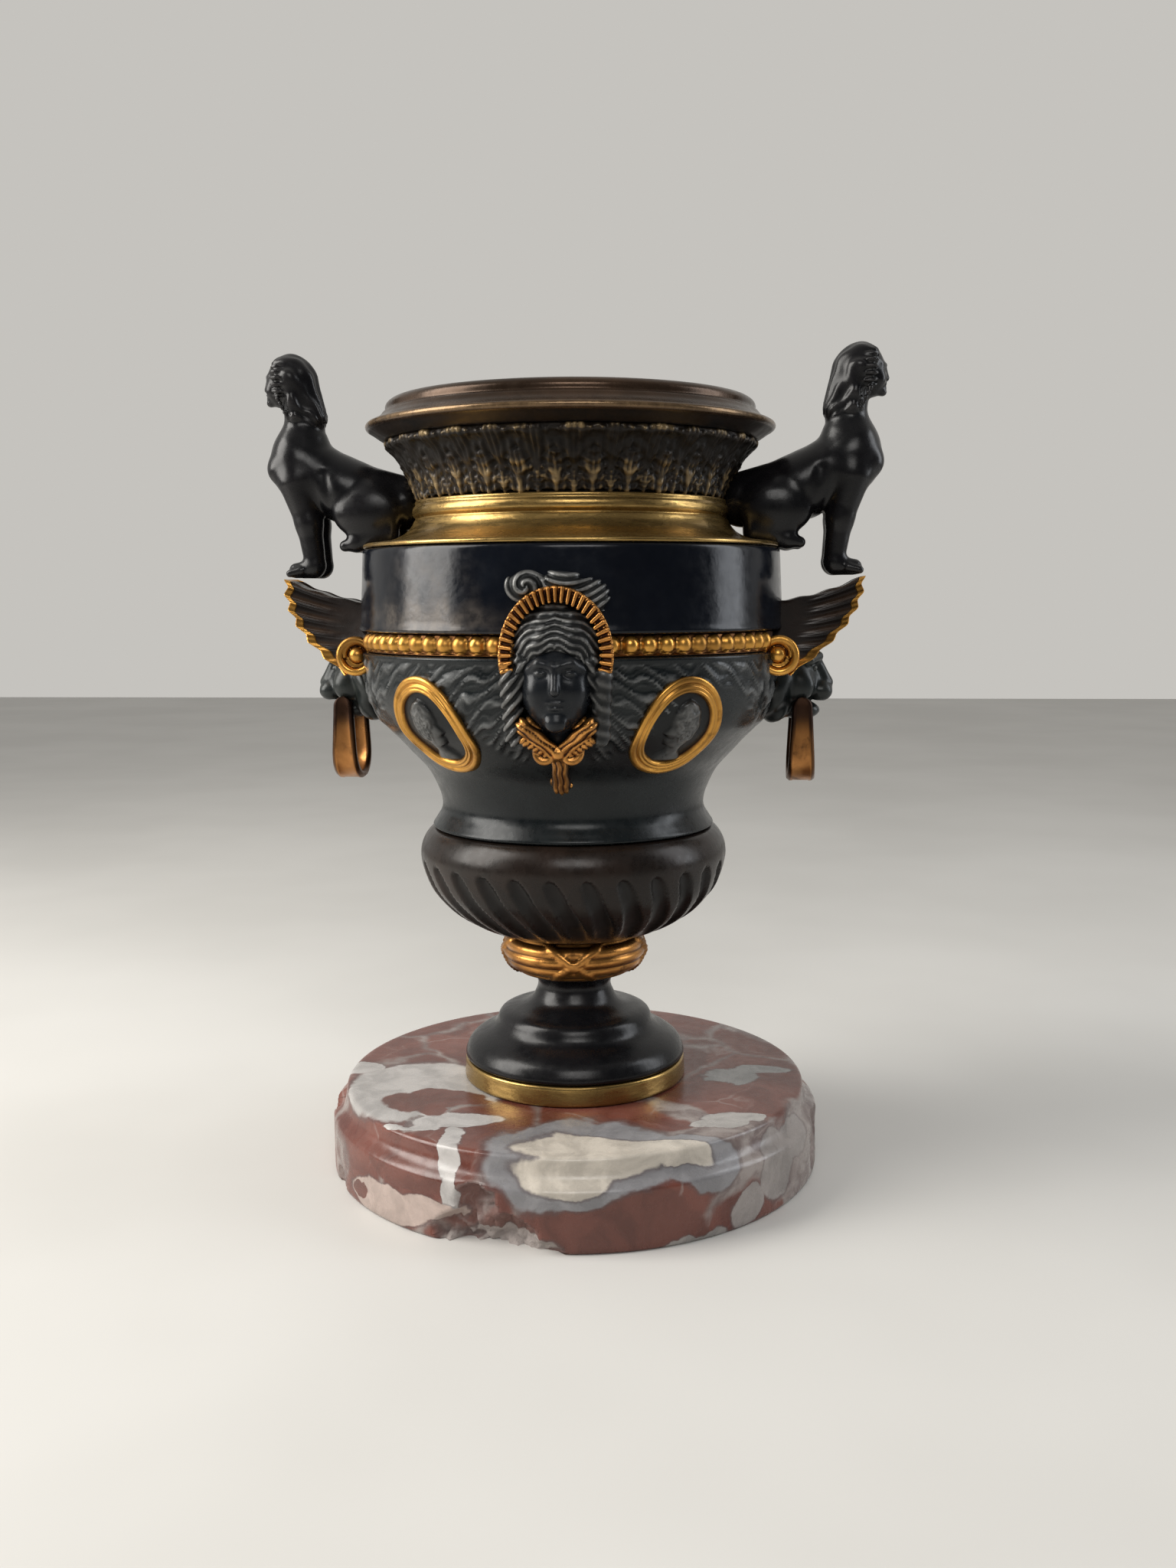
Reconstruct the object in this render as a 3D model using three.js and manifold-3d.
// A two-handled bronze krater vase on a round marble plinth, in millimetres, +Z up.
// The vase stands on the plane z = 0 with its axis on Z. The masks face -Y and +Y, the handles point
// along -X and +X.
import * as THREE from "three";
import { SimplifyModifier } from "three/addons/modifiers/SimplifyModifier.js";
import { mergeVertices } from "three/addons/utils/BufferGeometryUtils.js";
import Module from "manifold-3d";

const wasm = await Module();
wasm.setup();

// Fits
const SEAT_GAP = 0.3; // between two pieces that touch
const PIVOT_CLEARANCE = 0.6; // round a ring's bar in the lion's mouth

// Marble plinth
const PLINTH_RADIUS = 115;
const PLINTH_HEIGHT = 39;
const PLINTH_WALL_HEIGHT = 27.2;
const PLINTH_COVE_DEPTH = 6.6;
const CHIP_SIZE = 15; // half length of the largest break in its lower edge

// Foot
const FOOT_RING_RADIUS = 52.5;
const FOOT_RING_WIDTH = 8;
const FOOT_RING_HEIGHT = 9.3;
const FOOT_HEIGHT = 40.3;
const FOOT_BEAD_HEIGHT = 1.9;
const FOOT_LEDGE_RADIUS = 31.4;
const STEM_RADIUS = 17.2;
const KNOP_RADIUS = 34.2;
const KNOP_HEIGHT = 19.8;
const KNOP_NECK_RADIUS = 22;
const REEDS = 3;

// Bowl with its spiral flutes
const BOWL_RADIUS = 71.7;
const BOWL_HEIGHT = 50.4;
const BOWL_FOOT_RADIUS = 34;
const BOWL_WALL = 4;
const FLUTES = 28;
const FLUTE_DEPTH = 3;
const FLUTE_TWIST = 0.3; // radians from head to tail

// Bell-shaped body and its ornament
const BODY_HEIGHT = 81.3;
const BODY_WALL = 3.5;
const SEAM_RADIUS = 66; // where body and bowl meet
const WAIST_RADIUS = 61;
const BELLY_RADIUS = 96;
const FILLET_HEIGHT = 2.2;
const TRESS_RELIEF = 0.8;
const MEDALLION_HEIGHT = 50;
const MEDALLION_WIDTH = 41;
const MEDALLION_RELIEF = 2.6;
const MEDALLION_TURN = 36; // degrees either side of a mask
const MASK_HEIGHT = 92;
const MASK_TURN = 2.4; // degrees off the middle between the handles, as it was fixed

// Bead band, drum and collar
const BEADS = 75;
const BEAD_BAND_HEIGHT = 8.7;
const BEAD_RELIEF = 3.6;
const DRUM_RADIUS = BELLY_RADIUS - 1; // its wall stands in line with the belly
const DRUM_HEIGHT = 36.3;
const DRUM_WALL = 3.5;
const COLLAR_RADIUS = 72;
const COLLAR_HEIGHT = 21.1;
const COLLAR_WALL = 3;

// Neck of leaves and rim
const NECK_FOOT_RADIUS = 70;
const NECK_LIP_RADIUS = 84;
const NECK_HEIGHT = 25.7;
const NECK_WALL = 3.5;
const LEAVES = 18;
const LEAF_RELIEF = 3.4;
const RIM_RADIUS = 92.7;
const RIM_HEIGHT = 18.1;
const MOUTH_RADIUS = 77;

// Handles: winged brackets, sphinxes, lion heads and their rings
const SPHINX_HEIGHT = 90; // above the drum's upper edge, its forepaws reach lower
const BRACKET_TIP_WIDTH = 20;
const BRACKET_ROOT_WIDTH = 62; // over the two volutes, which stand clear of the bead band
const VOLUTE_RADIUS = 8.7;
const WING_RIBS = 6;
const LION_HEIGHT = 38;
const RING_HEIGHT = 39.5;
const RING_WIDTH = 31;
const RING_STRAP = 3.6; // thickness of the strap
const RING_TOP_DEPTH = 9;
const RING_BOTTOM_DEPTH = 12.5;
const RING_BAR_RADIUS = 2;

// Facets
const ROUND_FACETS = 28;
const MEDALLION_FACETS = 12;
const FORM_CELL = 3; // step of the grid that samples a free form
const SPHINX_FACETS = 660;
const LION_FACETS = 320;
const MASK_FACETS = 440;

const BEAD_VALLEY_RADIUS = BELLY_RADIUS - 2;

// Heights of the pieces' undersides above the table
const FOOT_RING_Z = PLINTH_HEIGHT + SEAT_GAP;
const FOOT_Z = FOOT_RING_Z + FOOT_RING_HEIGHT + SEAT_GAP;
const KNOP_Z = FOOT_Z + FOOT_HEIGHT + SEAT_GAP;
const BOWL_Z = KNOP_Z + KNOP_HEIGHT + SEAT_GAP;
const BODY_Z = BOWL_Z + BOWL_HEIGHT + SEAT_GAP;
const BEAD_BAND_Z = BODY_Z + BODY_HEIGHT + SEAT_GAP;
const DRUM_Z = BEAD_BAND_Z + BEAD_BAND_HEIGHT + SEAT_GAP;
const COLLAR_Z = DRUM_Z + DRUM_HEIGHT + SEAT_GAP;
const NECK_Z = COLLAR_Z + COLLAR_HEIGHT + SEAT_GAP;
const RIM_Z = NECK_Z + NECK_HEIGHT + SEAT_GAP;

const TAU = 2 * Math.PI;
const clamp = (x, low = 0, high = 1) => Math.min(high, Math.max(low, x));
const smooth = (x) => {
  const t = clamp(x);
  return t * t * (3 - 2 * t);
};

// An outline in the half plane (radius, height), run anticlockwise: up the outside and down the inside.
class Outline {
  constructor(radius, height) {
    this.points = [new THREE.Vector2(radius, height)];
  }
  get last() {
    return this.points.at(-1);
  }
  to(radius, height) {
    this.points.push(new THREE.Vector2(radius, height));
    return this;
  }
  bend(pullRadius, pullHeight, radius, height, steps = 3) {
    const curve = new THREE.QuadraticBezierCurve(
      this.last,
      new THREE.Vector2(pullRadius, pullHeight),
      new THREE.Vector2(radius, height),
    );
    this.points.push(...curve.getPoints(steps).slice(1));
    return this;
  }
}

// A closed solid from rows of points with the same count. A row of one point closes an end.
function skinRows(rows, closed) {
  const positions = [];
  const starts = [];
  for (const row of rows) {
    starts.push(positions.length / 3);
    for (const p of row) positions.push(p.x, p.y, p.z);
  }
  const index = [];
  const pairs = closed ? rows.length : rows.length - 1;
  for (let i = 0; i < pairs; i++) {
    const k = (i + 1) % rows.length;
    const count = Math.max(rows[i].length, rows[k].length);
    for (let j = 0; j < count; j++) {
      const next = (j + 1) % count;
      const a = starts[i] + (rows[i].length > 1 ? j : 0);
      const b = starts[i] + (rows[i].length > 1 ? next : 0);
      const c = starts[k] + (rows[k].length > 1 ? next : 0);
      const d = starts[k] + (rows[k].length > 1 ? j : 0);
      if (rows[i].length > 1) index.push(a, b, c);
      if (rows[k].length > 1) index.push(a, c, d);
    }
  }
  const geometry = new THREE.BufferGeometry();
  geometry.setAttribute("position", new THREE.Float32BufferAttribute(positions, 3));
  geometry.setIndex(signedVolume(positions, index) < 0 ? index.reverse() : index);
  return geometry;
}

// Negative where a closed surface faces inwards
function signedVolume(positions, index) {
  const corner = (i) => new THREE.Vector3().fromArray(positions, 3 * index[i]);
  let sum = 0;
  for (let i = 0; i < index.length; i += 3)
    sum += corner(i).dot(corner(i + 1).cross(corner(i + 2)));
  return sum / 6;
}

// Turns an outline round Z. swell(angle, radius, height) is added to the radius of each point off the axis.
function revolve(outline, facets = ROUND_FACETS, swell = () => 0) {
  const points = outline.points;
  const closed = points[0].x > 0;
  const rows = points.map(({ x: radius, y: height }) => {
    if (radius === 0) return [new THREE.Vector3(0, 0, height)];
    return Array.from({ length: facets }, (_, j) => {
      const angle = (j / facets) * TAU;
      const r = radius + swell(angle, radius, height);
      return new THREE.Vector3(r * Math.cos(angle), r * Math.sin(angle), height);
    });
  });
  return skinRows(rows, closed);
}

function solidOf(geometry) {
  const bare = geometry.clone();
  bare.deleteAttribute("normal");
  bare.deleteAttribute("uv");
  const merged = mergeVertices(bare, 1e-4);
  return new wasm.Manifold(
    new wasm.Mesh({
      numProp: 3,
      vertProperties: new Float32Array(merged.attributes.position.array),
      triVerts: new Uint32Array(merged.index.array),
    }),
  );
}

function geometryOf(solid) {
  const mesh = solid.getMesh();
  const geometry = new THREE.BufferGeometry();
  geometry.setAttribute("position", new THREE.BufferAttribute(mesh.vertProperties, 3));
  geometry.setIndex(new THREE.BufferAttribute(mesh.triVerts, 1));
  return geometry;
}

const cut = (geometry, ...tools) =>
  geometryOf(tools.reduce((solid, tool) => solid.subtract(solidOf(tool)), solidOf(geometry)));

const fuse = (...geometries) =>
  geometryOf(geometries.map(solidOf).reduce((sum, solid) => sum.add(solid)));

// Keeps the largest body of a cut piece, without slivers left on the far side of the cut.
function largest(geometry) {
  const bodies = solidOf(geometry).decompose();
  bodies.sort((a, b) => b.volume() - a.volume());
  return geometryOf(bodies[0]);
}

// Free forms are distances to their surface, negative inside, joined softly.
const blend = (a, b, softness) => {
  const h = clamp(0.5 + (0.5 * (b - a)) / softness);
  return b + (a - b) * h - softness * h * (1 - h);
};
const ball = (x, y, z, centre, radii) => {
  const dx = (x - centre[0]) / radii[0];
  const dy = (y - centre[1]) / radii[1];
  const dz = (z - centre[2]) / radii[2];
  const k0 = Math.hypot(dx, dy, dz);
  const k1 = Math.hypot(dx / radii[0], dy / radii[1], dz / radii[2]);
  return k1 === 0 ? -Math.min(...radii) : (k0 * (k0 - 1)) / k1;
};
const limb = (x, y, z, from, to, startRadius, endRadius) => {
  const dx = to[0] - from[0];
  const dy = to[1] - from[1];
  const dz = to[2] - from[2];
  const along = (x - from[0]) * dx + (y - from[1]) * dy + (z - from[2]) * dz;
  const t = clamp(along / (dx * dx + dy * dy + dz * dz));
  const off = Math.hypot(x - from[0] - t * dx, y - from[1] - t * dy, z - from[2] - t * dz);
  return off - startRadius - t * (endRadius - startRadius);
};

// Skins a free form with facets of about one cell. A cell that the surface crosses gets one point for each
// group of its inside corners that hang together, so that thin gaps stay clean.
const CORNERS = [0, 1, 2, 3, 4, 5, 6, 7].map((c) => [c & 1, (c >> 1) & 1, (c >> 2) & 1]);
const CELL_EDGES = [1, 2, 4].flatMap((bit) =>
  CORNERS.flatMap((_, a) => (a & bit ? [] : [[a, a | bit]])),
);
function skinForm(distance, from, to, cell) {
  const low = from.map((v) => v - cell);
  const n = low.map((v, k) => Math.ceil((to[k] - v) / cell) + 2);
  const at = (i, j, k) => (k * n[1] + j) * n[0] + i;
  const value = new Float64Array(n[0] * n[1] * n[2]);
  const everyCell = (start, spare, visit) => {
    for (let k = start; k < n[2] - spare; k++) {
      for (let j = start; j < n[1] - spare; j++) {
        for (let i = start; i < n[0] - spare; i++) visit([i, j, k]);
      }
    }
  };
  everyCell(0, 0, (p) => {
    value[at(...p)] = distance(...p.map((x, m) => low[m] + x * cell));
  });

  const positions = [];
  const cellPoints = new Map();
  const placePoints = ([i, j, k]) => {
    const v = CORNERS.map(([a, b, c]) => value[at(i + a, j + b, k + c)]);
    const inside = v.map((x) => x < 0);
    if (inside.every((x) => x === inside[0])) return;
    const group = CORNERS.map((_, c) => c);
    const joined = CELL_EDGES.filter(([a, b]) => inside[a] && inside[b]);
    for (let pass = 0; pass < 4; pass++) {
      for (const [a, b] of joined) {
        const shared = Math.min(group[a], group[b]);
        group[a] = shared;
        group[b] = shared;
      }
    }
    const points = new Map();
    for (const [a, b] of CELL_EDGES) {
      if (inside[a] === inside[b]) continue;
      const key = group[inside[a] ? a : b];
      if (!points.has(key)) points.set(key, { sum: [0, 0, 0], count: 0 });
      const t = v[a] / (v[a] - v[b]);
      const point = points.get(key);
      point.sum = point.sum.map((x, m) => x + CORNERS[a][m] + t * (CORNERS[b][m] - CORNERS[a][m]));
      point.count++;
    }
    const ids = new Map();
    for (const [key, { sum, count }] of points) {
      ids.set(key, positions.length / 3);
      positions.push(...[i, j, k].map((x, m) => low[m] + (x + sum[m] / count) * cell));
    }
    cellPoints.set(at(i, j, k), (corner) => ids.get(group[corner]));
  };
  everyCell(0, 1, placePoints);

  const index = [];
  const steps = [[1, 0, 0], [0, 1, 0], [0, 0, 1]];
  const joinRound = (p, axis) => {
    const q = p.map((x, m) => x + steps[axis][m]);
    const here = value[at(...p)] < 0;
    if (here === value[at(...q)] < 0) return;
    const inner = here ? p : q;
    const [u, v] = [steps[(axis + 1) % 3], steps[(axis + 2) % 3]];
    const quad = [[0, 0], [1, 0], [1, 1], [0, 1]].map(([s, t]) => {
      const c = p.map((x, m) => x - s * u[m] - t * v[m]);
      const corner = inner.reduce((sum, x, m) => sum + (x - c[m]) * 2 ** m, 0);
      return cellPoints.get(at(...c))(corner);
    });
    if (!here) quad.reverse();
    index.push(quad[0], quad[1], quad[2], quad[0], quad[2], quad[3]);
  };
  everyCell(1, 1, (p) => {
    for (let axis = 0; axis < 3; axis++) joinRound(p, axis);
  });

  const geometry = new THREE.BufferGeometry();
  geometry.setAttribute("position", new THREE.Float32BufferAttribute(positions, 3));
  geometry.setIndex(index);
  return geometry;
}

// A free form with the number of facets asked for, the finer ones where it bends most
async function carve(distance, from, to, facets, cell = FORM_CELL) {
  const fine = skinForm(distance, from, to, cell);
  const surplus = 1 - (3 * facets) / fine.index.count;
  return new SimplifyModifier().modify(fine, Math.round(surplus * fine.attributes.position.count));
}

// Outer outlines, each from its own underside at height 0
function bowlOutline() {
  const h = BOWL_HEIGHT;
  return new Outline(BOWL_FOOT_RADIUS, 0)
    .bend(BOWL_RADIUS - 4.7, 0.2 * h, BOWL_RADIUS, 0.75 * h, 6)
    .bend(BOWL_RADIUS, 0.92 * h, SEAM_RADIUS, h, 2);
}

const flare = (share) => WAIST_RADIUS + share * (BELLY_RADIUS - WAIST_RADIUS);

function bodyOutline() {
  const h = BODY_HEIGHT;
  return new Outline(SEAM_RADIUS, 0)
    .to(SEAM_RADIUS, FILLET_HEIGHT)
    .to(SEAM_RADIUS - 2, 1.3 * FILLET_HEIGHT)
    .to(WAIST_RADIUS, 0.11 * h)
    .bend(flare(0.066), 0.307 * h, flare(0.414), 0.464 * h)
    .bend(flare(0.73), 0.572 * h, flare(0.886), 0.67 * h, 2)
    .bend(flare(0.994), 0.763 * h, BELLY_RADIUS, 0.91 * h, 2)
    .to(BELLY_RADIUS, h - 1.5 * FILLET_HEIGHT)
    .to(BELLY_RADIUS + 1.5, h - FILLET_HEIGHT)
    .to(BELLY_RADIUS + 1.5, h);
}

function drumOutline() {
  const foot = DRUM_RADIUS + 2.3;
  return new Outline(foot + 0.4, 0)
    .to(foot + 0.4, FILLET_HEIGHT)
    .to(foot - 0.6, 1.3 * FILLET_HEIGHT)
    .to(DRUM_RADIUS, DRUM_HEIGHT);
}

function collarOutline() {
  const h = COLLAR_HEIGHT;
  const coveTop = COLLAR_RADIUS - 1.5;
  return new Outline(DRUM_RADIUS, 0)
    .to(DRUM_RADIUS, 0.1 * h)
    .to(DRUM_RADIUS - 5, 0.125 * h)
    .bend(coveTop + 9, 0.2 * h, coveTop, 0.6 * h, 2)
    .bend(COLLAR_RADIUS + 2, 0.77 * h, coveTop, 0.94 * h, 2)
    .to(NECK_FOOT_RADIUS, h);
}

function neckOutline() {
  const h = NECK_HEIGHT;
  const lean = NECK_LIP_RADIUS - NECK_FOOT_RADIUS;
  return new Outline(NECK_FOOT_RADIUS, 0)
    .to(NECK_FOOT_RADIUS + 0.12 * lean, 0.24 * h)
    .to(NECK_FOOT_RADIUS + 0.33 * lean, 0.47 * h)
    .to(NECK_FOOT_RADIUS + 0.58 * lean, 0.66 * h)
    .to(NECK_LIP_RADIUS + 0.5, 0.86 * h)
    .to(NECK_LIP_RADIUS - 1.5, h);
}

// Leaves stand out at even facets and their small foot leaves at odd ones, lower down.
function leafSwell(angle, radius, height) {
  const tip = smooth((height / NECK_HEIGHT - 0.45) / 0.4);
  const foot = smooth(1 - Math.abs(height / NECK_HEIGHT - 0.3) / 0.25);
  const leaf = Math.cos(LEAVES * angle);
  return 0.5 * LEAF_RELIEF * (leaf * (0.3 + 0.7 * tip) + (leaf < 0 ? foot : 0));
}

// Low tresses of hair on the widest part of the body
function tressSwell(angle, radius, height) {
  const share = height / BODY_HEIGHT;
  const zone = smooth((share - 0.5) / 0.15) * smooth((0.93 - share) / 0.08);
  return 0.5 * TRESS_RELIEF * zone * (Math.cos((ROUND_FACETS / 2) * angle + share * 40) - 1);
}

// A stacked piece: outer outline, inner outline from the top down, and its height above the table.
// Only the outside swells.
function ringPiece(outer, inner, z, facets = ROUND_FACETS, swell = () => 0) {
  const outline = new Outline(0, 0);
  outline.points = [...outer.points, ...inner];
  const outside = (radius, height) => outer.points.some((p) => p.x === radius && p.y === height);
  const sample = (angle, radius, height) =>
    outside(radius, height) ? swell(angle, radius, height) : 0;
  return revolve(outline, facets, sample).translate(0, 0, z);
}

// The room that a stacked piece takes up, filled to the axis and grown by the seat gap, to cut ornaments
// to fit
function room(outer, z, facets = ROUND_FACETS, swell = () => 0) {
  const points = outer.points;
  const grow = 1.2 * SEAT_GAP;
  const grown = new Outline(0, -SEAT_GAP);
  points.forEach((p, i) => {
    const before = points[Math.max(i - 1, 0)];
    const after = points[Math.min(i + 1, points.length - 1)];
    const along = new THREE.Vector2().subVectors(after, before).normalize();
    const radius = p.x + grow * along.y;
    if (i === 0) grown.to(radius, p.y - SEAT_GAP);
    else if (i === points.length - 1) grown.to(radius, p.y + SEAT_GAP);
    else grown.to(radius, p.y - grow * along.x);
  });
  grown.to(0, grown.last.y);
  return revolve(grown, facets, swell).translate(0, 0, z);
}

const bodyRoom = () => room(bodyOutline(), BODY_Z);
const beadRoom = () => {
  const radius = (BEAD_VALLEY_RADIUS + BEAD_RELIEF) / Math.cos(Math.PI / ROUND_FACETS);
  return room(new Outline(radius, 0).to(radius, BEAD_BAND_HEIGHT), BEAD_BAND_Z);
};
const drumRoom = () => room(drumOutline(), DRUM_Z);
const collarRoom = () => room(collarOutline(), COLLAR_Z);
const neckRoom = () => room(neckOutline(), NECK_Z, 2 * LEAVES, leafSwell);

function marblePlinth() {
  const disc = revolve(
    new Outline(0, 0)
      .to(PLINTH_RADIUS, 0)
      .to(PLINTH_RADIUS, PLINTH_WALL_HEIGHT)
      .bend(
        PLINTH_RADIUS - 0.85 * PLINTH_COVE_DEPTH,
        PLINTH_WALL_HEIGHT + 1.5,
        PLINTH_RADIUS - PLINTH_COVE_DEPTH,
        PLINTH_HEIGHT,
        2,
      )
      .to(0, PLINTH_HEIGHT),
    36,
  );
  // Breaks: bearing in degrees, height on the edge, and half sizes along, into and up the edge
  const breaks = [
    [-101, 2, 1.35, 0.42, 0.85],
    [-106, 17, 0.75, 0.3, 0.8],
    [-92, 0, 0.8, 0.22, 0.35],
    [-170, 30, 0.75, 0.28, 0.6],
    [-8, 16, 1.1, 0.2, 1],
    [-152, 2, 0.5, 0.16, 0.5],
    [48, PLINTH_HEIGHT, 0.3, 0.2, 0.12],
  ];
  return largest(cut(disc, ...breaks.map(breakTool)));
}

// A rough lump of stone missing from the plinth's edge
function breakTool([bearing, height, along, into, up], k) {
  const lump = new THREE.IcosahedronGeometry(1, 1);
  const position = lump.attributes.position;
  for (let i = 0; i < position.count; i++) {
    const [x, y, z] = [position.getX(i), position.getY(i), position.getZ(i)];
    const rough = 1 + 0.16 * Math.sin(7 * x + 5 * y * (k + 1) + 3 * z);
    position.setXYZ(i, x * rough * into, y * rough * along, z * rough * up);
  }
  const radius = height > PLINTH_WALL_HEIGHT ? PLINTH_RADIUS - PLINTH_COVE_DEPTH / 2 : PLINTH_RADIUS;
  return lump
    .scale(CHIP_SIZE, CHIP_SIZE, CHIP_SIZE)
    .translate(radius, 0, height)
    .rotateZ(THREE.MathUtils.degToRad(bearing));
}

function footRing() {
  const inner = FOOT_RING_RADIUS - FOOT_RING_WIDTH;
  return revolve(
    new Outline(inner, 0)
      .to(FOOT_RING_RADIUS + 0.2, 0)
      .to(FOOT_RING_RADIUS - 0.2, FOOT_RING_HEIGHT)
      .to(inner, FOOT_RING_HEIGHT),
  ).translate(0, 0, FOOT_RING_Z);
}

function foot() {
  const rim = FOOT_RING_RADIUS - 0.6;
  const bead = FOOT_BEAD_HEIGHT;
  const h = FOOT_HEIGHT;
  return revolve(
    new Outline(0, 0)
      .to(rim, 0)
      .to(rim + 0.9, bead / 2)
      .to(rim - 0.2, bead)
      .to(rim + 0.5, 1.5 * bead)
      .to(rim - 0.4, 2 * bead)
      .bend(0.91 * rim, 0.31 * h, 0.76 * rim, 0.345 * h, 2)
      .to(0.69 * rim, 0.41 * h)
      .to(0.685 * rim, 0.5 * h)
      .to(FOOT_LEDGE_RADIUS, 0.56 * h)
      .bend(STEM_RADIUS + 3, 0.6 * h, STEM_RADIUS, 0.82 * h, 2)
      .to(KNOP_NECK_RADIUS, h)
      .to(0, h),
  ).translate(0, 0, FOOT_Z);
}

// A reeded knop tied with four crossed ribbons
function knop() {
  const h = KNOP_HEIGHT;
  const crown = (z) => {
    const off = (z - 0.53 * h) / (0.63 * h);
    return KNOP_NECK_RADIUS + (KNOP_RADIUS - KNOP_NECK_RADIUS) * Math.sqrt(Math.max(0, 1 - off * off));
  };
  const outline = new Outline(0, 0).to(KNOP_NECK_RADIUS + 1, 0);
  for (let reed = 0; reed < REEDS; reed++) {
    for (const [share, proud] of [[0.05, -1.6], [0.52, 0.3]]) {
      const z = h * (0.08 + (0.84 * (reed + share)) / REEDS);
      outline.to(crown(z) + proud, z);
    }
  }
  outline.to(crown(0.94 * h) - 1.6, 0.93 * h).to(crown(h) - 2, h).to(0, h);
  const ribbon = (angle, radius, height) => {
    const quarter = Math.PI / 2;
    const off = Math.abs(angle - quarter * Math.round(angle / quarter)) / 0.2;
    const line = Math.abs(off - Math.abs(height / h - 0.5) / 0.45);
    return height > 0 && height < h ? 1.4 * smooth((0.45 - line) / 0.2) : 0;
  };
  return revolve(outline, ROUND_FACETS, ribbon).translate(0, 0, KNOP_Z);
}

function bowl() {
  const h = BOWL_HEIGHT;
  const head = 0.72 * h;
  const outline = bowlOutline();
  const facets = 2 * FLUTES;
  const rows = outline.points.map(({ x: radius, y: height }) =>
    Array.from({ length: facets }, (_, j) => {
      const angle = (j / facets) * TAU + FLUTE_TWIST * (1 - height / h);
      const length = smooth(height / (0.25 * h)) * smooth((head + 2 - height) / 4);
      const r = radius - (j % 2 ? FLUTE_DEPTH * length : 0);
      return new THREE.Vector3(r * Math.cos(angle), r * Math.sin(angle), height);
    }),
  );
  const shell = skinRows([[new THREE.Vector3()], ...rows, [new THREE.Vector3(0, 0, h)]], false);
  const hollow = revolve(
    new Outline(0, BOWL_WALL)
      .to(BOWL_FOOT_RADIUS + 4, BOWL_WALL + 1)
      .to(BOWL_RADIUS - 12, 0.36 * h)
      .to(BOWL_RADIUS - BOWL_WALL - 2, 0.66 * h)
      .to(BOWL_RADIUS - BOWL_WALL - 2, 0.84 * h)
      .to(SEAM_RADIUS - BOWL_WALL - 1, h)
      .to(SEAM_RADIUS - BOWL_WALL - 1, h + 1)
      .to(0, h + 1),
    24,
  );
  return cut(shell, hollow).translate(0, 0, BOWL_Z);
}

function body() {
  const h = BODY_HEIGHT;
  const wall = BODY_WALL;
  const inner = [
    new THREE.Vector2(BELLY_RADIUS - wall, h),
    new THREE.Vector2(flare(0.886) - wall - 2, 0.64 * h),
    new THREE.Vector2(flare(0.414) - wall - 1, 0.44 * h),
    new THREE.Vector2(WAIST_RADIUS - wall, 0.2 * h),
    new THREE.Vector2(WAIST_RADIUS - wall, 0),
  ];
  return ringPiece(bodyOutline(), inner, BODY_Z, ROUND_FACETS, tressSwell);
}

// A ring of beads: each is a low point over four facets, between valleys
function beadBand() {
  const h = BEAD_BAND_HEIGHT;
  const valley = BEAD_VALLEY_RADIUS;
  const inner = BELLY_RADIUS - BODY_WALL - 1;
  const point = (radius, share, z) => {
    const angle = (share / BEADS) * TAU;
    return new THREE.Vector3(radius * Math.cos(angle), radius * Math.sin(angle), z);
  };
  const row = (radius, z, shift = 0) =>
    Array.from({ length: BEADS }, (_, j) => point(radius, j + shift, z));
  const points = [
    ...row(valley, 0),
    ...row(valley, h),
    ...row(inner, h),
    ...row(inner, 0),
    ...row(valley + BEAD_RELIEF, h / 2, 0.5),
  ];
  const index = [];
  for (let j = 0; j < BEADS; j++) {
    const next = (j + 1) % BEADS;
    const [low, high, innerHigh, innerLow, top] = [0, 1, 2, 3, 4].map((r) => r * BEADS);
    const round = [low + j, low + next, high + next, high + j];
    round.forEach((a, k) => index.push(a, round[(k + 1) % 4], top + j));
    for (const [a, b] of [[high, innerHigh], [innerHigh, innerLow], [innerLow, low]]) {
      index.push(a + j, a + next, b + next);
      index.push(a + j, b + next, b + j);
    }
  }
  const geometry = new THREE.BufferGeometry().setFromPoints(points);
  geometry.setIndex(index);
  return geometry.translate(0, 0, BEAD_BAND_Z);
}

function drum() {
  const inner = DRUM_RADIUS - DRUM_WALL;
  return ringPiece(
    drumOutline(),
    [new THREE.Vector2(inner, DRUM_HEIGHT), new THREE.Vector2(inner, 0)],
    DRUM_Z,
  );
}

function collar() {
  const h = COLLAR_HEIGHT;
  const inner = [
    new THREE.Vector2(NECK_FOOT_RADIUS - COLLAR_WALL, h),
    new THREE.Vector2(NECK_FOOT_RADIUS - COLLAR_WALL, 0.55 * h),
    new THREE.Vector2(COLLAR_RADIUS + 4, 0.12 * h),
    new THREE.Vector2(DRUM_RADIUS - DRUM_WALL, 0),
  ];
  return ringPiece(collarOutline(), inner, COLLAR_Z);
}

function neck() {
  const h = NECK_HEIGHT;
  const inner = [
    new THREE.Vector2(MOUTH_RADIUS, h),
    new THREE.Vector2(MOUTH_RADIUS - NECK_WALL, 0.6 * h),
    new THREE.Vector2(NECK_FOOT_RADIUS - NECK_WALL, 0),
  ];
  return ringPiece(neckOutline(), inner, NECK_Z, 2 * LEAVES, leafSwell);
}

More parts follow.
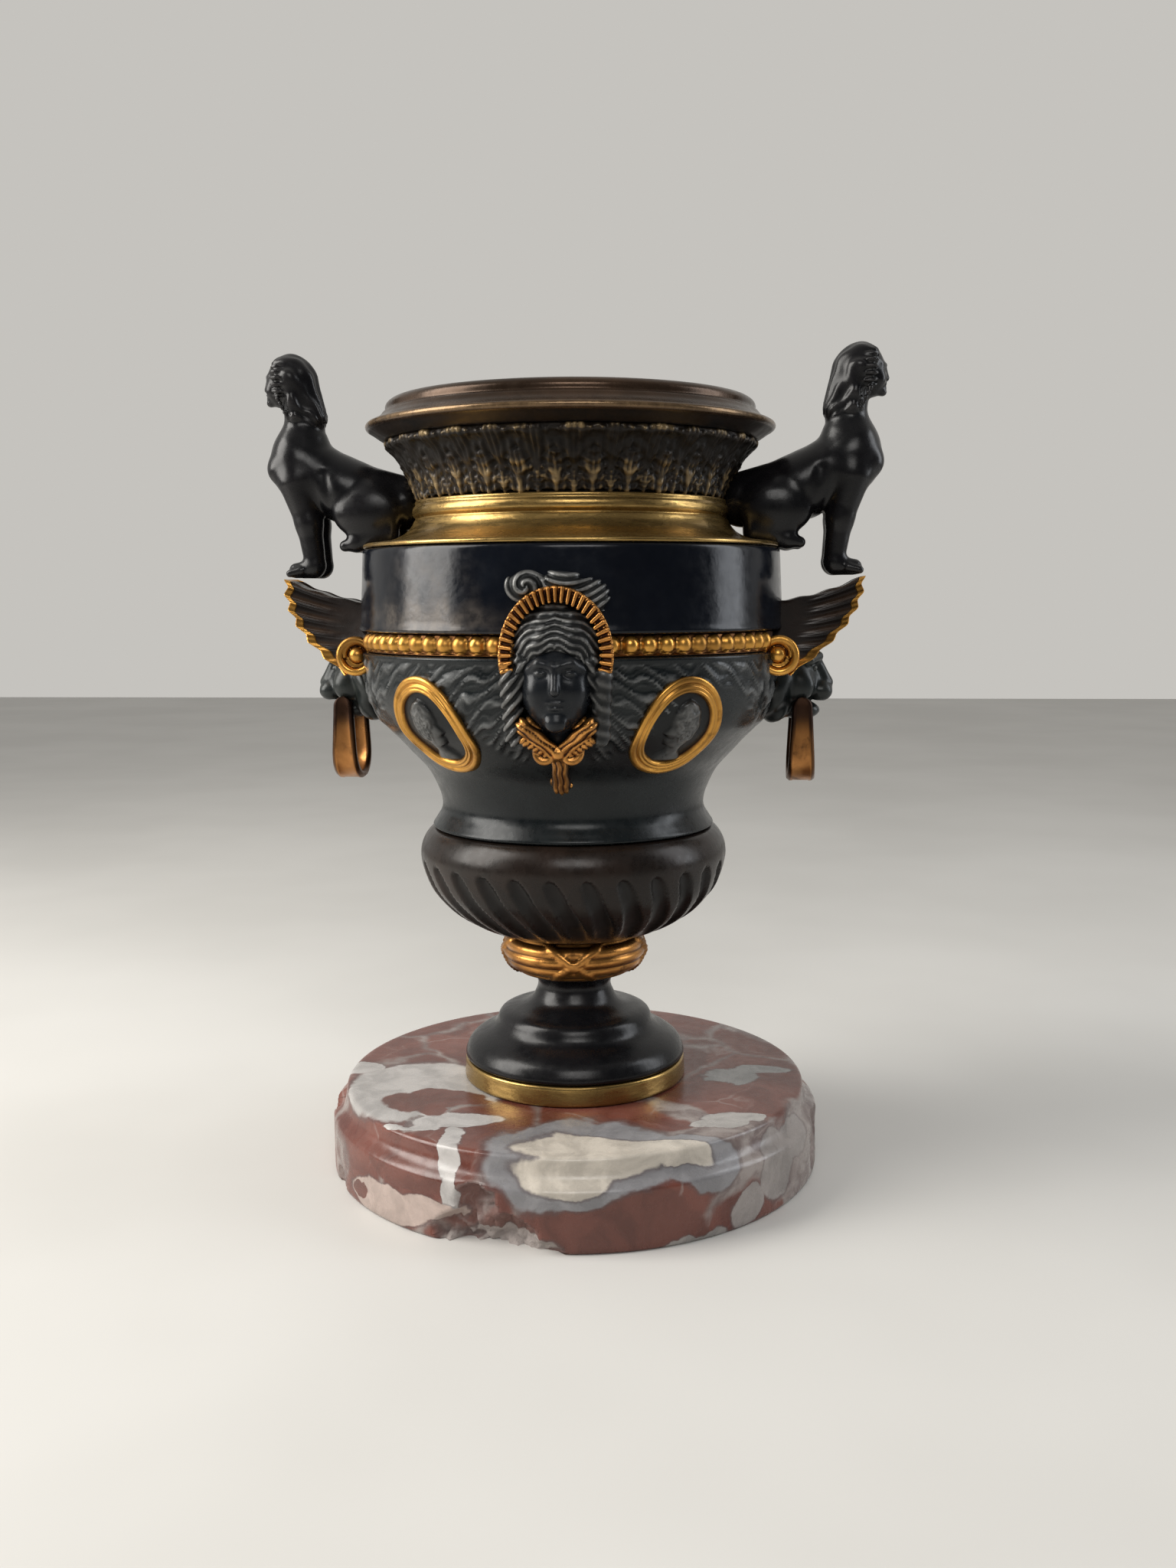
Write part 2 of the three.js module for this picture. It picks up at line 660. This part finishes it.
function rim() {
  const h = RIM_HEIGHT;
  return revolve(
    new Outline(MOUTH_RADIUS, 0)
      .to(NECK_LIP_RADIUS + 1.5, 0)
      .to(RIM_RADIUS - 1.9, 0.15 * h)
      .to(RIM_RADIUS, 0.34 * h)
      .to(RIM_RADIUS - 2.7, 0.52 * h)
      .to(RIM_RADIUS - 8.2, 0.74 * h)
      .to(RIM_RADIUS - 9.5, 0.72 * h)
      .to(RIM_RADIUS - 9.5, 0.92 * h)
      .to(RIM_RADIUS - 12.5, h)
      .to(MOUTH_RADIUS, 0.92 * h),
  ).translate(0, 0, RIM_Z);
}

// Sphinx, facing +X from the drum's upper edge, which is its own origin. Its free form is in shares of
// 90 units of height above that edge.
const SPHINX_UNIT = SPHINX_HEIGHT / 90;
const PAW_REACH = 34.5 * SPHINX_UNIT; // of the forepaws past the drum
const PAW_DROP = 13 * SPHINX_UNIT; // of their soles below its edge
function sphinxForm(x, y, z) {
  const side = Math.abs(y);
  const at = (...parts) => parts.reduce((a, [b, soft]) => blend(a, b, soft), 1e3);
  const trunk = at(
    [limb(x, y, z, [-17, 0, 21.5], [10, 0, 27.5], 12.5, 14), 0.1],
    [limb(x, y, z, [10, 0, 27.5], [28, 0, 38], 14, 14.5), 5],
    [ball(x, y, z, [33, 0, 42], [11.3, 14, 16]), 6],
    [ball(x, side, z, [38.7, 5.6, 37.2], [6.6, 6.2, 6.6]), 3],
    [limb(x, y, z, [28, 0, 51], [31.5, 0, 66], 9, 7.2), 5],
  );
  const head = at(
    [ball(x, y, z, [35.4, 0, 79], [10.6, 10.2, 11.2]), 0.1],
    [ball(x, y, z, [39.8, 0, 75.2], [6.9, 7.2, 9.6]), 3],
    [limb(x, y, z, [45.4, 0, 78.5], [47.4, 0, 74.2], 1.3, 1.8), 1.5],
    [limb(x, y, z, [31.5, 0, 77], [26, 0, 61], 9, 7.6), 4],
    [limb(x, side, z, [34, 8.5, 78], [31.5, 7.5, 61], 3.4, 3), 3],
  );
  const foreleg = at(
    [limb(x, side, z, [31, 7.5, 31], [26.3, 6.8, 12.5], 8.6, 6), 0.1],
    [limb(x, side, z, [26.3, 6.8, 12.5], [24, 6.3, -6], 6, 5), 3],
    [limb(x, side, z, [24.5, 6.3, -8.6], [33.6, 6.3, -9.4], 4.6, 3.9), 3],
  );
  const hindleg = at(
    [ball(x, side, z, [-2.5, 9, 19.5], [16.5, 8, 11.2]), 0.1],
    [limb(x, side, z, [-12, 10, 6.5], [3, 10, 2.6], 4.6, 5.1), 4],
  );
  return at([trunk, 0.1], [head, 4], [foreleg, 4], [hindleg, 3]);
}

async function sphinx() {
  const unit = SPHINX_UNIT;
  const form = await carve(sphinxForm, [-34, -21, -17], [53, 21, 94], SPHINX_FACETS);
  form.scale(unit, unit, unit).translate(DRUM_RADIUS, 0, COLLAR_Z);
  return largest(cut(form, drumRoom(), collarRoom(), neckRoom(), bracketForm(SEAT_GAP)));
}

// Winged bracket under the forepaws: ribs fan from its root to a scalloped outer edge that ends in two
// volutes.
const VOLUTE_X = DRUM_RADIUS - 1;
const VOLUTE_Z = BEAD_BAND_Z - 2;
function bracketForm(grow = 0) {
  const root = DRUM_RADIUS - 6;
  const tip = new THREE.Vector2(DRUM_RADIUS + PAW_REACH + 2.7, COLLAR_Z - PAW_DROP - SEAT_GAP);
  const edge = new THREE.QuadraticBezierCurve(
    tip,
    new THREE.Vector2(tip.x, tip.y - 0.49 * (tip.y - VOLUTE_Z + VOLUTE_RADIUS)),
    new THREE.Vector2(VOLUTE_X + 5, VOLUTE_Z - VOLUTE_RADIUS),
  );
  const rows = Array.from({ length: 2 * WING_RIBS + 1 }, (_, k) => {
    const share = k / (2 * WING_RIBS);
    const crest = k % 2 ? -1 : 0;
    const end = edge.getPoint(share);
    const rootZ = THREE.MathUtils.lerp(tip.y - 11, VOLUTE_Z - 4, share);
    const sag = 2.4 * (1 - share);
    const half = THREE.MathUtils.lerp(BRACKET_TIP_WIDTH, BRACKET_ROOT_WIDTH - 4, share) / 2;
    const up = k === 0 ? grow : 0;
    const down = k === 2 * WING_RIBS ? grow : 0;
    const stations = [
      [root, rootZ, half],
      [(root + end.x) / 2, (rootZ + end.y) / 2 - sag, half - 2.2 + crest],
      [end.x + 1.2 * crest + grow, end.y, half + crest],
    ].map(([x, z, w]) => [x, z + up - down, w + grow]);
    return [
      ...stations.map(([x, z, w]) => new THREE.Vector3(x, -w, z)),
      ...stations.reverse().map(([x, z, w]) => new THREE.Vector3(x, w, z)),
    ];
  });
  const middle = (row) =>
    row.reduce((sum, p) => sum.add(p), new THREE.Vector3()).divideScalar(row.length);
  const wing = skinRows([[middle(rows[0])], ...rows, [middle(rows.at(-1))]], false);
  const roll = (radius, half) =>
    new THREE.CylinderGeometry(radius + grow, radius + grow, 2 * (half + grow), 12).translate(
      VOLUTE_X,
      0,
      VOLUTE_Z,
    );
  const half = BRACKET_ROOT_WIDTH / 2;
  return fuse(wing, roll(VOLUTE_RADIUS, half), roll(0.5 * VOLUTE_RADIUS, half + 1.5));
}

// Lion head, facing +X from the body's widest point below the bead band, which is its own origin
const LION_UNIT = LION_HEIGHT / 38;
const PIVOT_X = BELLY_RADIUS + 9.5 * LION_UNIT;
const PIVOT_Z = BEAD_BAND_Z - 26 * LION_UNIT;
function lionForm(x, y, z) {
  const side = Math.abs(y);
  const at = (...parts) => parts.reduce((a, [b, soft]) => blend(a, b, soft), 1e3);
  return at(
    [ball(x, y, z, [3, 0, -12], [14, 14.5, 14.5]), 0.1],
    [ball(x, y, z, [-3, 0, -16], [9.5, 21, 18.5]), 4],
    [limb(x, y, z, [11, 0, -16], [18, 0, -17.5], 7.6, 6), 4],
    [ball(x, side, z, [18, 4, -19.8], [5.6, 5.4, 5]), 2],
    [limb(x, y, z, [15, 0, -5], [20.4, 0, -14.6], 4.6, 3.4), 3],
    [ball(x, side, z, [13.6, 6.4, -5.6], [4.6, 4.4, 3.8]), 2],
    [ball(x, side, z, [8, 9.8, -16.5], [7, 5.4, 7]), 3],
    [ball(x, y, z, [8, 0, -28.6], [9.6, 7.6, 4.6]), 3],
  );
}

async function lionHead() {
  const unit = LION_UNIT;
  const form = await carve(lionForm, [-13, -23, -37], [27, 23, 7], LION_FACETS);
  form.scale(unit, unit, unit).translate(BELLY_RADIUS, 0, BEAD_BAND_Z);
  const bar = RING_BAR_RADIUS + PIVOT_CLEARANCE;
  const half = RING_WIDTH / 2 + PIVOT_CLEARANCE;
  const cheek = half - RING_STRAP - 2 * PIVOT_CLEARANCE;
  const bore = new THREE.CylinderGeometry(bar, bar, 2 * half, 8).translate(PIVOT_X, 0, PIVOT_Z);
  const sweep = RING_TOP_DEPTH / 2 + PIVOT_CLEARANCE;
  const slots = [-1, 1].map((side) =>
    new THREE.CylinderGeometry(sweep, sweep, 20, 10).translate(PIVOT_X, side * (cheek + 10), PIVOT_Z),
  );
  return largest(cut(form, bodyRoom(), beadRoom(), bracketForm(SEAT_GAP), bore, ...slots));
}

// Stirrup ring: a strap round the jaw with rounded upper ends on a bar through the mouth
function mouthRing() {
  const middle = (RING_WIDTH - RING_STRAP) / 2;
  const drop = RING_HEIGHT - RING_TOP_DEPTH / 2 - RING_WIDTH / 2;
  const steps = 7;
  const path = [[-middle, 0, -1, 0]];
  for (let k = 0; k <= steps; k++) {
    const angle = Math.PI + (Math.PI * k) / steps;
    path.push([middle * Math.cos(angle), middle * Math.sin(angle) - drop, Math.cos(angle), Math.sin(angle)]);
  }
  path.push([middle, 0, 1, 0]);
  const rows = path.map(([y, z, outY, outZ]) => {
    const share = clamp(-z / (drop + middle));
    const half = THREE.MathUtils.lerp(RING_TOP_DEPTH, RING_BOTTOM_DEPTH, share) / 2;
    const corner = (x, out) =>
      new THREE.Vector3(x, y + (out * outY * RING_STRAP) / 2, z + (out * outZ * RING_STRAP) / 2);
    return [corner(-half, 1), corner(half, 1), corner(half, -1), corner(-half, -1)];
  });
  const end = (row) => row.reduce((sum, p) => sum.add(p), new THREE.Vector3()).divideScalar(4);
  const strap = skinRows([[end(rows[0])], ...rows, [end(rows.at(-1))]], false);
  const round = (radius, length, y) =>
    new THREE.CylinderGeometry(radius, radius, length, 12).translate(0, y, 0);
  const top = RING_TOP_DEPTH / 2;
  return fuse(
    strap,
    round(top, RING_STRAP, -middle),
    round(top, RING_STRAP, middle),
    round(RING_BAR_RADIUS, 2 * middle, 0),
  ).translate(PIVOT_X, 0, PIVOT_Z);
}

// Mask of a woman with a diadem, hanging locks and a knotted ribbon, facing +X from the body's widest point
const MASK_UNIT = MASK_HEIGHT / 92;
function maskForm(x, y, z) {
  const side = Math.abs(y);
  const at = (...parts) => parts.reduce((a, [b, soft]) => blend(a, b, soft), 1e3);
  const arch = Math.hypot(x - 4, 1.12 * (Math.hypot(y / 0.84, z - 1) - 24)) - 3.2;
  const diadem = Math.max(arch, -8 - z);
  return at(
    [ball(x, y, z, [0, 0, -11], [13, 15, 19]), 0.1],
    [ball(x, y, z, [-1, 0, 6], [11.5, 19.5, 17]), 3],
    [limb(x, y, z, [11.6, 0, -3], [14.2, 0, -12.5], 1.6, 2.4), 2],
    [diadem, 1.5],
    [ball(x, y, z, [0, -12, 28], [5, 8.5, 6.5]), 3],
    [ball(x, y, z, [0, 2, 29], [5.5, 9, 5.5]), 3],
    [ball(x, y, z, [0, 14, 24], [4.5, 7, 7]), 3],
    [limb(x, side, z, [2, 18.6, -8], [-5, 17.4, -32], 4.2, 3.8), 2],
    [limb(x, y, z, [-4, 0, -22], [-12, 0, -38], 9, 6), 4],
    [limb(x, side, z, [3, 11, -29], [-6, 1, -40], 4.6, 3.6), 2],
    [limb(x, y, z, [-8, 0, -42], [-22, 0, -54], 3.6, 4.2), 2],
  );
}

async function mask() {
  const unit = MASK_UNIT;
  const form = await carve(maskForm, [-30, -26, -61], [20, 26, 37], MASK_FACETS);
  form
    .scale(unit, unit, unit)
    .translate(BELLY_RADIUS, 0, BEAD_BAND_Z)
    .rotateZ(THREE.MathUtils.degToRad(MASK_TURN - 90));
  return largest(cut(form, bodyRoom(), beadRoom(), drumRoom()));
}

// A point on the body at an arc length up its outline, with the way out of the surface
function onBody(arc) {
  const points = bodyOutline().points;
  let left = arc;
  for (let i = 1; i < points.length; i++) {
    const step = points[i].distanceTo(points[i - 1]);
    if (left <= step || i === points.length - 1) {
      const along = new THREE.Vector2().subVectors(points[i], points[i - 1]).normalize();
      const place = points[i - 1].clone().addScaledVector(along, left);
      return { place, out: new THREE.Vector2(along.y, -along.x) };
    }
    left -= step;
  }
}

const bodyArc = () => {
  const points = bodyOutline().points;
  return points.slice(1).reduce((sum, p, i) => sum + p.distanceTo(points[i]), 0);
};


// Rings of a medallion from its middle out: share of its half size, and height in shares of its relief
const MEDALLION_RINGS = [[0.36, 0.7], [0.64, 0.1], [0.8, 0.95], [1, 0.6], [1, -0.9]];
function medallion(turn) {
  const middle = bodyArc() - 2 * FILLET_HEIGHT - 0.52 * MEDALLION_HEIGHT - 4;
  const spokes = MEDALLION_FACETS;
  const place = (share, angle, relief) => {
    const arc = middle + share * 0.5 * MEDALLION_HEIGHT * Math.sin(angle);
    const { place: p, out } = onBody(arc);
    const level = relief * MEDALLION_RELIEF;
    const radius = p.x + out.x * level;
    const bearing = (share * 0.5 * MEDALLION_WIDTH * Math.cos(angle)) / p.x;
    return new THREE.Vector3(
      radius * Math.cos(bearing),
      radius * Math.sin(bearing),
      p.y + out.y * level,
    );
  };
  const rings = MEDALLION_RINGS.map(([share, relief]) =>
    Array.from({ length: spokes }, (_, j) => place(share, (j / spokes) * TAU, relief)),
  );
  const shell = skinRows([[place(0, 0, 0.8)], ...rings, [place(0, 0, -0.9)]], false);
  shell.translate(0, 0, BODY_Z).rotateZ(THREE.MathUtils.degToRad(turn - 90));
  return largest(cut(shell, bodyRoom()));
}

const material = (color, roughness, metalness) =>
  new THREE.MeshStandardMaterial({ color, roughness, metalness });
const marble = material(0x8a564a, 0.25, 0);
const blackBronze = material(0x15171c, 0.35, 0.8);
const greenBronze = material(0x2b322f, 0.5, 0.7);
const brownBronze = material(0x46301f, 0.4, 0.8);
const gilt = material(0xb07a2c, 0.4, 0.9);
const brass = material(0x9c7430, 0.3, 1);

const vase = new THREE.Group();
function add(name, geometry, finish, parent = vase) {
  const mesh = new THREE.Mesh(geometry, finish);
  mesh.name = name;
  parent.add(mesh);
}

add("marble_plinth", marblePlinth(), marble);
add("foot_ring", footRing(), gilt);
add("foot", foot(), blackBronze);
add("knop", knop(), gilt);
add("bowl", bowl(), brownBronze);
add("body", body(), greenBronze);
add("bead_band", beadBand(), gilt);
add("drum", drum(), blackBronze);
add("collar", collar(), brass);
add("neck", neck(), brownBronze);
add("rim", rim(), brownBronze);

const sphinxGeometry = await sphinx();
const bracketGeometry = largest(cut(bracketForm(), drumRoom(), beadRoom(), bodyRoom()));
const lionGeometry = await lionHead();
const ringGeometry = mouthRing();
const maskGeometry = await mask();
const medallions = [medallion(-MEDALLION_TURN), medallion(MEDALLION_TURN)];

for (const [side, half] of [["right", 0], ["left", Math.PI]]) {
  const handle = new THREE.Group();
  handle.rotation.z = half;
  add("sphinx_" + side, sphinxGeometry, blackBronze, handle);
  add("bracket_" + side, bracketGeometry, brownBronze, handle);
  add("lion_head_" + side, lionGeometry, greenBronze, handle);
  add("ring_" + side, ringGeometry, brownBronze, handle);
  vase.add(handle);
}
for (const [face, half] of [["front", 0], ["back", Math.PI]]) {
  const ornament = new THREE.Group();
  ornament.rotation.z = half;
  add("mask_" + face, maskGeometry, greenBronze, ornament);
  add("medallion_" + face + "_left", medallions[0], gilt, ornament);
  add("medallion_" + face + "_right", medallions[1], gilt, ornament);
  vase.add(ornament);
}

export default vase;
